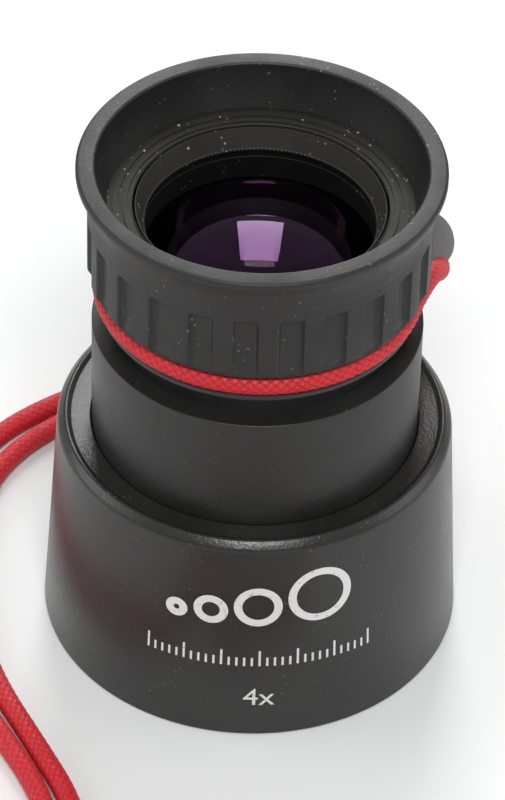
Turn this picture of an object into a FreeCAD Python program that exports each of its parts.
import FreeCAD, Part
import Sketcher
import math
import os

# Viewing loupe: a 4x stand magnifier with a focusing eyepiece, a skirt and a neck cord.
# Millimetres, +Z up. The origin is the centre of the skirt's base, on the surface it stands on.

Vector = FreeCAD.Vector
doc = FreeCAD.newDocument("ViewingLoupe")

# --- driving dimensions -------------------------------------------------------------------

DIMENSIONS = [
    # skirt
    ("skirtBaseRadius", 31.3), ("skirtRimRadius", 29.25), ("skirtFootRadius", 31.0),
    ("skirtFootChamfer", 0.35), ("skirtCorner", 34.4), ("skirtRimCrest", 36.7),
    ("skirtDish", 36.1), ("skirtDishEdge", 27.1), ("skirtCrestRadius", 28.0),
    ("skirtWall", 2.2), ("skirtRoof", 2.4), ("skirtBore", 24.2), ("skirtSleeve", 25.6),
    ("skirtSeat", 19.5), ("skirtSeatLip", 22.6), ("skirtSeatThick", 1.5),
    # barrel
    ("barrelRadius", 24.12), ("barrelBore", 21.6), ("barrelFoot", 21.0), ("barrelTop", 54.9),
    ("barrelShoulder", 55.0), ("barrelNeck", 20.9), ("barrelSocket", 44.5),
    ("ringGroove", 23.0), ("ringGrooveLow", 26.0), ("ringGrooveHigh", 27.7), ("ringSection", 0.72),
    # guide tube
    ("guideFoot", 45.0), ("guideRadius", 20.85), ("guideBore", 18.55), ("flangeLow", 58.7),
    ("flangeHigh", 59.9), ("flangeRadius", 23.15), ("cordFloor", 20.75),
    ("journalRadius", 20.1), ("guideTop", 67.9), ("clipGroove", 19.5), ("clipLow", 66.2),
    ("clipHigh", 67.0), ("keySlot", 3.1), ("keySlotFoot", 61.5),
    # focus ring and its running parts
    ("focusFoot", 63.9), ("focusBore", 20.16), ("focusRadius", 22.9), ("focusTop", 76.0),
    ("clipPocket", 21.3), ("clipPocketLow", 65.9), ("clipPocketHigh", 67.3), ("clipRadius", 21.1),
    ("washerThick", 0.4), ("washerRadius", 22.4), ("thrustLow", 63.4),
    ("baffleSeat", 75.1), ("baffleBore", 18.35), ("baffleRadius", 22.3), ("baffleTop", 75.9),
    ("stepWidth", 1.3), ("stepDepth", 0.3), ("baffleRecess", 22.32),
    # eyecup
    ("gripRadius", 24.75), ("gripFloor", 24.0), ("gripFoot", 63.8), ("ribFoot", 65.1),
    ("recessLow", 65.2), ("recessHigh", 74.3), ("recessWidth", 3.2), ("gripTop", 76.4),
    ("lipRadius", 26.4), ("lipLow", 81.6), ("lipHigh", 82.9), ("lipEdge", 25.7),
    ("lipMouth", 23.65), ("bowlFoot", 21.95), ("bowlFloor", 76.05), ("coveRadius", 9.0),
    ("bowlRadius", 30.0), ("eyecupBore", 22.93), ("recessCount", 24),
    # lens cell
    ("cellRadius", 18.5), ("cellBore", 17.4), ("cellFoot", 50.4), ("cellTop", 72.2),
    ("cellHead", 20.1), ("cellHeadLow", 70.2), 
    ("frontRingRadius", 18.0), ("frontRingTop", 75.6), ("frontRingMouth", 17.5),
    ("frontRingThroat", 16.6), ("throatHeight", 72.7), ("frontRingFoot", 67.1),
    ("rearRingBore", 15.4), ("spacerBore", 15.8), ("seatBevel", 0.4),
    # lenses
    ("lensRadius", 17.3), ("eyeLensEdgeLow", 63.9), ("eyeLensEdgeHigh", 67.0),
    ("eyeLensCrown", 71.4), ("eyeLensBase", 61.6), ("fieldEdgeLow", 52.7), ("fieldEdgeHigh", 55.2),
    ("fieldCrown", 58.4), ("fieldBase", 51.6),
    # keys and screws
    ("keyWidth", 2.9), ("keyLow", 64.0), ("keyHigh", 66.0), ("keyRadius", 19.4),
    ("keyScrewRadius", 0.6),
    # cord and slider
    ("cordRadius", 1.65), ("cordTurnRadius", 22.45), ("cordTurnHeight", 61.57),
    ("clampCapRadius", 4.4), ("clampCapThick", 2.0), ("clampBodyRadius", 4.1),
    ("clampBodyThick", 3.2),
]

sheet = doc.addObject("Spreadsheet::Sheet", "Dims")
for row, (alias, value) in enumerate(DIMENSIONS, start=1):
    sheet.set("A%d" % row, alias)
    sheet.set("B%d" % row, str(value))
    sheet.setAlias("B%d" % row, alias)
doc.recompute()


def size(formula):
    """The value in millimetres of a formula in the sheet's names, such as 'barrelTop - 2'."""
    value = sheet.evalExpression(formula)
    return float(getattr(value, "Value", value))


def bound(formula):
    """The same formula as other objects have to write it, with the sheet's name before each alias."""
    words = []
    for word in formula.split():
        plain = word.strip("()")
        words.append(word.replace(plain, "Dims." + plain) if plain[:1].isalpha() else word)
    return " ".join(words)


# --- sketches and bodies ------------------------------------------------------------------

def origin_plane(body, role):
    return next(o for o in body.Origin.OriginFeatures if o.Role == role)


def new_sketch(body, name, role, height=None):
    sketch = body.newObject("Sketcher::SketchObject", name)
    sketch.AttachmentSupport = (origin_plane(body, role), [""])
    sketch.MapMode = "FlatFace"
    if height is not None:
        sketch.setExpression("AttachmentOffset.Base.z", bound(height))
    return sketch


def pin_point(sketch, geometry, end, across, up):
    """Ties one end of a line or arc to the sketch's origin by two formulas."""
    for kind, axis, formula in (("DistanceX", -2, across), ("DistanceY", -1, up)):
        if abs(size(formula)) < 1e-9:
            sketch.addConstraint(Sketcher.Constraint("PointOnObject", geometry, end, axis))
            continue
        index = sketch.addConstraint(
            Sketcher.Constraint(kind, -1, 1, geometry, end, size(formula)))
        sketch.setExpression("Constraints[%d]" % index, bound(formula))


def arc_between(start, end, radius, side):
    """A circular arc from start to end; side 1 puts its centre on the left of the way, -1 on the right."""
    chord = end - start
    middle = (start + end) * 0.5
    left = Vector(-chord.y, chord.x, 0).normalize()
    centre = middle + left * side * math.sqrt(radius ** 2 - (chord.Length / 2) ** 2)
    angles = [math.atan2(p.y - centre.y, p.x - centre.x) for p in (start, end)]
    circle = Part.Circle(centre, Vector(0, 0, 1), radius)
    return Part.ArcOfCircle(circle, *(angles if side > 0 else angles[::-1]))


def draw_profile(sketch, outline):
    """A closed outline: (across, up) formulas, and after them (radius, side) where an arc follows."""
    points = [Vector(size(p[0]), size(p[1]), 0) for p in outline]
    ends = []
    for i, corner in enumerate(outline):
        start, end = points[i], points[(i + 1) % len(points)]
        if len(corner) > 2:
            index = sketch.addGeometry(arc_between(start, end, size(corner[2]), corner[3]))
            ends.append((index, 1, 2) if corner[3] > 0 else (index, 2, 1))
            radius = sketch.addConstraint(Sketcher.Constraint("Radius", index, size(corner[2])))
            sketch.setExpression("Constraints[%d]" % radius, bound(corner[2]))
        else:
            index = sketch.addGeometry(Part.LineSegment(start, end))
            ends.append((index, 1, 2))
    for i, (index, first, last) in enumerate(ends):
        following = ends[(i + 1) % len(ends)]
        sketch.addConstraint(
            Sketcher.Constraint("Coincident", index, last, following[0], following[1]))
    for (index, first, last), corner in zip(ends, outline):
        pin_point(sketch, index, first, corner[0], corner[1])


def turned(label, outline):
    """A body of revolution about Z, from an outline of radius and height."""
    body = doc.addObject("PartDesign::Body", label)
    sketch = new_sketch(body, label + "_profile", "XZ_Plane")
    draw_profile(sketch, outline)
    revolution = body.newObject("PartDesign::Revolution", label + "_turned")
    revolution.Profile = sketch
    revolution.ReferenceAxis = (sketch, ["V_Axis"])
    revolution.Angle = 360
    sketch.Visibility = False
    doc.recompute()
    return body


def rectangle(sketch, left, right, low, high):
    draw_profile(sketch, [(left, low), (right, low), (right, high), (left, high)])


def cut_ring_of_slots(body, name, sides, foot, depth, count):
    """Cuts a straight slot upwards from foot, and repeats it round the axis."""
    before = body.Shape.Volume
    sketch = new_sketch(body, name + "_outline", "XY_Plane", foot)
    rectangle(sketch, *sides)
    pocket = body.newObject("PartDesign::Pocket", name)
    pocket.Profile = sketch
    pocket.Type = "Length"
    pocket.Reversed = True
    pocket.setExpression("Length", bound(depth))
    doc.recompute()
    if pocket.Shape.Volume > before - 1e-6:
        raise RuntimeError(name + " cuts nothing")
    pattern = body.newObject("PartDesign::PolarPattern", name + "_round")
    pattern.Originals = [pocket]
    pattern.Axis = (sketch, ["N_Axis"])
    pattern.Angle = 360
    pattern.Occurrences = count
    body.Tip = pattern
    doc.recompute()
    return body


# --- skirt and barrel ---------------------------------------------------------------------

def make_skirt():
    return turned("skirt", [
        ("skirtFootRadius - skirtWall", "0"),
        ("skirtFootRadius", "0"),
        ("skirtBaseRadius", "skirtFootChamfer"),
        ("skirtRimRadius", "skirtCorner"),
        ("skirtCrestRadius + 0.7", "skirtRimCrest - 0.35"),
        ("skirtCrestRadius", "skirtRimCrest"),
        ("skirtDishEdge", "skirtDish"),
        ("skirtBore", "skirtDish - 0.2"),
        ("skirtBore", "skirtSeat + skirtSeatThick"),
        ("skirtSeatLip", "skirtSeat + skirtSeatThick"),
        ("skirtSeatLip", "skirtSeat"),
        ("skirtSleeve", "skirtSeat"),
        ("skirtSleeve", "skirtDish - skirtRoof"),
        ("skirtRimRadius - skirtWall", "skirtDish - skirtRoof"),
    ])


def make_barrel():
    return turned("barrel", [
        ("barrelBore", "barrelFoot"),
        ("barrelRadius - 0.4", "barrelFoot"),
        ("barrelRadius", "barrelFoot + 0.4"),
        ("barrelRadius", "ringGrooveLow"),
        ("ringGroove", "ringGrooveLow"),
        ("ringGroove", "ringGrooveHigh"),
        ("barrelRadius", "ringGrooveHigh"),
        ("barrelRadius", "barrelTop - 0.2"),
        ("barrelRadius - 0.2", "barrelTop"),
        ("barrelNeck + 0.3", "barrelShoulder"),
        ("barrelNeck", "barrelShoulder"),
        ("barrelNeck", "barrelSocket"),
        ("barrelBore", "barrelSocket - 0.6"),
    ])


def make_barrel_o_ring():
    ring = doc.addObject("Part::Torus", "barrel_o_ring")
    ring.setExpression("Radius1", bound("ringGroove + ringSection - 0.32"))
    ring.setExpression("Radius2", bound("ringSection"))
    ring.Placement.Base.z = size("( ringGrooveLow + ringGrooveHigh ) / 2")
    ring.setExpression("Placement.Base.z", bound("( ringGrooveLow + ringGrooveHigh ) / 2"))
    doc.recompute()
    return ring


# --- guide tube and focus ring ------------------------------------------------------------

def make_guide_tube():
    body = turned("guide_tube", [
        ("guideBore", "guideFoot"),
        ("guideRadius - 0.5", "guideFoot"),
        ("guideRadius", "guideFoot + 0.5"),
        ("guideRadius", "flangeLow"),
        ("flangeRadius - 0.35", "flangeLow"),
        ("flangeRadius", "flangeLow + 0.35"),
        ("flangeRadius", "flangeHigh - 0.35"),
        ("flangeRadius - 0.35", "flangeHigh"),
        ("cordFloor", "flangeHigh"),
        ("cordFloor", "thrustLow"),
        ("journalRadius", "thrustLow"),
        ("journalRadius", "clipLow"),
        ("clipGroove", "clipLow"),
        ("clipGroove", "clipHigh"),
        ("journalRadius", "clipHigh"),
        ("journalRadius", "guideTop"),
        ("guideBore", "guideTop"),
    ])
    cut_ring_of_slots(body, "key_slot", ("guideBore - 1", "cordFloor + 1",
                                         "0 - keySlot / 2", "keySlot / 2"),
                      "keySlotFoot", "guideTop - keySlotFoot + 1", 3)
    return body


def make_thrust_washer():
    return turned("thrust_washer", [
        ("journalRadius + 0.1", "thrustLow"),
        ("washerRadius", "thrustLow"),
        ("washerRadius", "thrustLow + washerThick"),
        ("journalRadius + 0.1", "thrustLow + washerThick"),
    ])


def make_retaining_clip():
    body = turned("retaining_clip", [
        ("clipGroove", "clipLow"),
        ("clipRadius", "clipLow"),
        ("clipRadius", "clipHigh"),
        ("clipGroove", "clipHigh"),
    ])
    sketch = new_sketch(body, "clip_gap_outline", "XY_Plane", "clipLow - 1")
    rectangle(sketch, "0 - clipRadius - 1", "0 - clipGroove + 1", "0 - 1.5", "1.5")
    gap = body.newObject("PartDesign::Pocket", "clip_gap")
    gap.Profile = sketch
    gap.Reversed = True
    gap.Length = 3
    doc.recompute()
    return body


def make_focus_ring():
    return turned("focus_ring", [
        ("focusBore", "focusFoot"),
        ("focusRadius", "focusFoot"),
        ("focusRadius", "focusTop"),
        ("baffleRecess", "focusTop"),
        ("baffleRecess", "baffleSeat"),
        ("focusBore", "baffleSeat"),
        ("focusBore", "clipPocketHigh"),
        ("clipPocket", "clipPocketHigh"),
        ("clipPocket", "clipPocketLow"),
        ("focusBore", "clipPocketLow"),
    ])


def make_baffle_ring():
    outline = [
        ("baffleBore", "baffleSeat"),
        ("baffleRadius", "baffleSeat"),
        ("baffleRadius", "baffleTop"),
    ]
    for step in range(3):
        edge = "baffleRadius - 0.4 - %d * stepWidth" % step
        outline += [
            (edge, "baffleTop"),
            (edge, "baffleTop - stepDepth"),
            (edge + " - stepWidth / 2", "baffleTop - stepDepth"),
            (edge + " - stepWidth / 2", "baffleTop"),
        ]
    outline.append(("baffleBore", "baffleTop"))
    return turned("baffle_ring", outline)


def make_eyecup():
    body = turned("eyecup", [
        ("eyecupBore", "gripFoot"),
        ("gripFloor", "gripFoot"),
        ("gripRadius", "ribFoot"),
        ("gripRadius", "gripTop", "coveRadius", -1),
        ("lipRadius", "lipLow"),
        ("lipEdge", "lipHigh"),
        ("lipMouth", "lipHigh", "bowlRadius", 1),
        ("bowlFoot", "bowlFloor"),
        ("eyecupBore", "bowlFloor"),
    ])
    cut_ring_of_slots(body, "grip_recess", ("gripFloor", "lipRadius + 1",
                                            "0 - recessWidth / 2", "recessWidth / 2"),
                      "recessLow", "recessHigh - recessLow", int(size("recessCount")))
    return body


# --- lens cell ----------------------------------------------------------------------------

def make_lens_cell():
    return turned("lens_cell", [
        ("cellBore", "cellFoot"),
        ("cellRadius", "cellFoot"),
        ("cellRadius", "cellHeadLow"),
        ("cellHead", "cellHeadLow"),
        ("cellHead", "cellTop"),
        ("frontRingRadius + 0.02", "cellTop"),
        ("frontRingRadius + 0.02", "frontRingFoot"),
        ("cellBore", "frontRingFoot"),
    ])


def make_front_retaining_ring():
    return turned("front_retaining_ring", [
        ("frontRingThroat", "frontRingFoot + seatBevel"),
        ("lensRadius + 0.1", "frontRingFoot"),
        ("frontRingRadius", "frontRingFoot"),
        ("frontRingRadius", "frontRingTop"),
        ("frontRingMouth", "frontRingTop"),
        ("frontRingThroat", "throatHeight"),
    ])


def lens(label, base, edge_low, edge_high, crown):
    """A biconvex lens: each face is the arc through its edge and its vertex."""
    def face_radius(rise):
        return "( lensRadius * lensRadius + ( %s ) * ( %s ) ) / ( 2 * ( %s ) )" % (rise, rise, rise)
    return turned(label, [
        ("0", base, face_radius(edge_low + " - " + base), 1),
        ("lensRadius", edge_low),
        ("lensRadius", edge_high, face_radius(crown + " - " + edge_high), 1),
        ("0", crown),
    ])


def make_spacer_ring():
    return turned("spacer_ring", [
        ("spacerBore", "fieldEdgeHigh + 0.7"),
        ("lensRadius", "fieldEdgeHigh"),
        ("lensRadius", "eyeLensEdgeLow"),
        ("spacerBore", "eyeLensEdgeLow - 0.5"),
    ])


def make_rear_retaining_ring():
    return turned("rear_retaining_ring", [
        ("rearRingBore", "cellFoot"),
        ("lensRadius", "cellFoot"),
        ("lensRadius", "fieldEdgeLow"),
        ("rearRingBore + 0.9", "fieldEdgeLow - 0.2"),
    ])


def cylinder(label, radius, length, centre, direction):
    piece = doc.addObject("Part::Cylinder", label)
    piece.setExpression("Radius", bound(radius))
    piece.setExpression("Height", bound(length))
    piece.Placement = FreeCAD.Placement(
        centre, FreeCAD.Rotation(Vector(0, 0, 1), direction))
    return piece


def three_round(make_one, label):
    """Three like pieces at 120 degrees, joined as one node of separate solids."""
    doc.recompute()
    group = doc.addObject("Part::Feature", label)
    solids = []
    for i in range(3):
        solid = make_one.Shape.copy()
        solid.rotate(Vector(0, 0, 0), Vector(0, 0, 1), 120 * i)
        solids.append(solid)
    group.Shape = Part.makeCompound(solids)
    return group


def make_guide_keys():
    block = doc.addObject("Part::Box", "one_key")
    block.setExpression("Length", bound("keyRadius - cellRadius"))
    block.setExpression("Width", bound("keyWidth"))
    block.setExpression("Height", bound("keyHigh - keyLow"))
    block.Placement.Base = Vector(size("cellRadius"), -size("keyWidth") / 2, size("keyLow"))
    hole = cylinder("key_hole", "keyScrewRadius", "keyRadius",
                    Vector(0, 0, size("( keyLow + keyHigh ) / 2")), Vector(1, 0, 0))
    key = doc.addObject("Part::Cut", "one_drilled_key")
    key.Base = block
    key.Tool = hole
    return three_round(key, "guide_keys")


def make_key_screws():
    middle = size("( keyLow + keyHigh ) / 2")
    shank = cylinder("one_key_screw", "keyScrewRadius - 0.02", "keyRadius - cellRadius - 0.1",
                     Vector(size("cellRadius") + 0.05, 0, middle), Vector(1, 0, 0))
    return three_round(shank, "key_screws")


# --- cord ---------------------------------------------------------------------------------

def rounded_path(points):
    """Straight runs joined by tangent arcs, each as large as its two runs allow."""
    edges, radii = [], []
    at = points[0]
    for before, corner, after in zip(points, points[1:], points[2:]):
        into, out = corner - before, after - corner
        turn = into.getAngle(out)
        set_back = 0.45 * min(into.Length, out.Length)
        radii.append(set_back / math.tan(turn / 2))
        into.normalize()
        out.normalize()
        start, end = corner - into * set_back, corner + out * set_back
        centre = corner + (out - into).normalize() * (radii[-1] / math.cos(turn / 2))
        middle = centre + (corner - centre).normalize() * radii[-1]
        edges += [Part.LineSegment(at, start).toShape(), Part.Arc(start, middle, end).toShape()]
        at = end
    edges.append(Part.LineSegment(at, points[-1]).toShape())
    return edges, radii


def tube(label, edges):
    wire = Part.Wire(edges)
    start = edges[0].valueAt(edges[0].FirstParameter)
    along = edges[0].tangentAt(edges[0].FirstParameter)
    section = Part.Wire([Part.Circle(start, along, size("cordRadius")).toShape()])
    solid = wire.makePipeShell([section], True, True)
    piece = doc.addObject("Part::Feature", label)
    piece.Shape = solid
    expected = math.pi * size("cordRadius") ** 2 * wire.Length
    print(label, "length %.1f" % wire.Length, "volume ratio %.4f" % (solid.Volume / expected))
    return piece


# The cord clamp hangs in the gap of the turn, with its round face tilted up and forwards.
CLAMP_FACE = Vector(24.75, 12.6, 60.0)
CLAMP_AXIS = Vector(0.402, -0.537, 0.742)


def make_clamp_part(label, outline):
    body = turned(label, outline)
    body.Placement = FreeCAD.Placement(
        CLAMP_FACE, FreeCAD.Rotation(Vector(0, 0, 1), CLAMP_AXIS))
    return body


def make_clamp_cap():
    return make_clamp_part("cord_clamp_cap", [
        ("0", "0 - clampCapThick"),
        ("clampCapRadius - 0.2", "0 - clampCapThick"),
        ("clampCapRadius", "0.2 - clampCapThick"),
        ("clampCapRadius", "0 - 0.5"),
        ("clampCapRadius - 0.4", "0 - 0.1"),
        ("0", "0"),
    ])


def make_clamp_body():
    return make_clamp_part("cord_clamp_body", [
        ("0", "0 - clampCapThick - clampBodyThick"),
        ("clampBodyRadius - 0.9", "0 - clampCapThick - clampBodyThick"),
        ("clampBodyRadius", "0.9 - clampCapThick - clampBodyThick"),
        ("clampBodyRadius", "0 - clampCapThick"),
        ("0", "0 - clampCapThick"),
    ])


def make_cord_turn():
    """The turn of cord held in the groove, with both ends led into the clamp."""
    radius, height = size("cordTurnRadius"), size("cordTurnHeight")
    leaves, returns = math.radians(-8), math.radians(72)

    def on_groove(angle, past=0):
        along = Vector(-math.sin(angle), math.cos(angle), 0) * past
        return Vector(radius * math.cos(angle), radius * math.sin(angle), height) + along

    near = [on_groove(leaves), on_groove(leaves, 4.4), Vector(25.3, 4.2, 61.0),
            Vector(26.7, 8.0, 58.6), Vector(26.2, 11.4, 55.9), Vector(24.2, 13.8, 56.4)]
    far = [on_groove(returns), on_groove(returns, -11.0), Vector(21.4, 16.4, 60.4),
           Vector(23.2, 14.9, 58.6)]
    near_edges, near_radii = rounded_path(near)
    far_edges, far_radii = rounded_path(far)
    print("cord_turn radii", ["%.1f" % r for r in near_radii + far_radii])
    halfway = (leaves + returns) / 2 + math.pi
    held = Part.Arc(on_groove(returns), on_groove(halfway), on_groove(leaves)).toShape()
    pieces = Part.sortEdges(far_edges + [held] + near_edges)[0]
    return tube("cord_turn", pieces)


# a hair above the base plane, so that the cord lies on the surface
ON_TABLE = 1.66

# The outer strand: from the clamp down behind the barrel, round the left of the skirt,
# along the front, and back to the middle of the loop at the cord's far end.
OUTER_STRAND = [
    (24.8, 14.6, 57.4), (24.8, 17.6, 51.4), (23.8, 23.4, 42.6), (21.5, 30.0, 31.4),
    (17.4, 37.0, 19.4), (11.0, 43.0, 7.6), (1.6, 46.3, ON_TABLE), (-9.2, 47.2, ON_TABLE),
    (-20.5, 45.6, ON_TABLE), (-31.4, 39.9, ON_TABLE), (-40.9, 31.5, ON_TABLE),
    (-45.8, 21.4, ON_TABLE), (-47.5, 8.8, ON_TABLE), (-47.3, -6.0, ON_TABLE),
    (-43.6, -20.8, ON_TABLE), (-36.3, -33.8, ON_TABLE), (-29.6, -45.5, ON_TABLE),
    (-27.2, -55.5, ON_TABLE), (-27.6, -66.8, ON_TABLE), (-25.2, -78.0, ON_TABLE),
    (-16.5, -85.6, ON_TABLE), (-4.0, -87.9, ON_TABLE), (10.0, -88.3, ON_TABLE),
    (23.5, -87.1, ON_TABLE), (31.4, -73.2, ON_TABLE), (23.6, -58.9, ON_TABLE),
    (9.2, -58.9, ON_TABLE), (-3.2, -51.8, ON_TABLE), (-13.1, -55.8, ON_TABLE),
]
# The inner strand runs beside it, and ends where the loop's end begins.
INNER_STRAND = [
    (22.3, 15.8, 56.9), (21.4, 18.8, 51.4), (20.4, 25.0, 42.4), (17.9, 31.4, 30.8),
    (13.9, 37.0, 18.0), (8.2, 40.6, 6.6), (-1.4, 42.5, ON_TABLE), (-11.6, 43.0, ON_TABLE),
    (-22.2, 40.4, ON_TABLE), (-31.8, 34.2, ON_TABLE), (-39.2, 25.6, ON_TABLE),
    (-42.7, 15.4, ON_TABLE), (-43.7, 2.8, ON_TABLE), (-42.0, -10.4, ON_TABLE),
    (-37.3, -24.0, ON_TABLE), (-30.5, -36.6, ON_TABLE), (-24.9, -47.4, ON_TABLE),
    (-23.3, -56.4, ON_TABLE), (-23.8, -66.4, ON_TABLE), (-21.7, -76.0, ON_TABLE),
    (-14.5, -82.0, ON_TABLE), (-3.6, -84.1, ON_TABLE), (9.6, -84.5, ON_TABLE),
    (21.4, -83.5, ON_TABLE), (27.6, -73.2, ON_TABLE), (21.4, -62.6, ON_TABLE),
    (11.0, -63.3, ON_TABLE), (1.0, -75.0, ON_TABLE), (-9.8, -74.6, ON_TABLE),
    (-16.1, -66.1, ON_TABLE),
]


def make_neck_cord():
    """One cord, split into its two strands in the straight stretch at the loop's far end."""
    route = [Vector(*p) for p in OUTER_STRAND + INNER_STRAND[::-1]]
    edges, radii = rounded_path(route)
    print("neck cord radii", ["%.1f" % r for r in radii])
    split = 2 * (len(OUTER_STRAND) - 1)
    return [tube("neck_cord_outer", edges[:split]), tube("neck_cord_inner", edges[split:])]


# --- build, check and write ---------------------------------------------------------------

nodes = [
    make_skirt(),
    make_barrel(),
    make_barrel_o_ring(),
    make_guide_tube(),
    make_thrust_washer(),
    make_retaining_clip(),
    make_focus_ring(),
    make_baffle_ring(),
    make_eyecup(),
    make_lens_cell(),
    make_front_retaining_ring(),
    lens("eye_lens", "eyeLensBase", "eyeLensEdgeLow", "eyeLensEdgeHigh", "eyeLensCrown"),
    lens("field_lens", "fieldBase", "fieldEdgeLow", "fieldEdgeHigh", "fieldCrown"),
    make_spacer_ring(),
    make_rear_retaining_ring(),
    make_guide_keys(),
    make_key_screws(),
    make_clamp_cap(),
    make_clamp_body(),
    make_cord_turn(),
    *make_neck_cord(),
]
doc.recompute()

for item in doc.Objects:
    if "Invalid" in item.State or "Error" in item.State:
        raise RuntimeError("%s did not recompute: %s" % (item.Label, item.State))
for node in nodes:
    if node.Shape.isNull() or not node.Shape.isValid():
        raise RuntimeError(node.Label + " has no valid shape")

os.makedirs("parts", exist_ok=True)
for node in nodes:
    node.Shape.exportStep("parts/%s.step" % node.Label)
    print(node.Label, "%.1f mm3" % node.Shape.Volume)
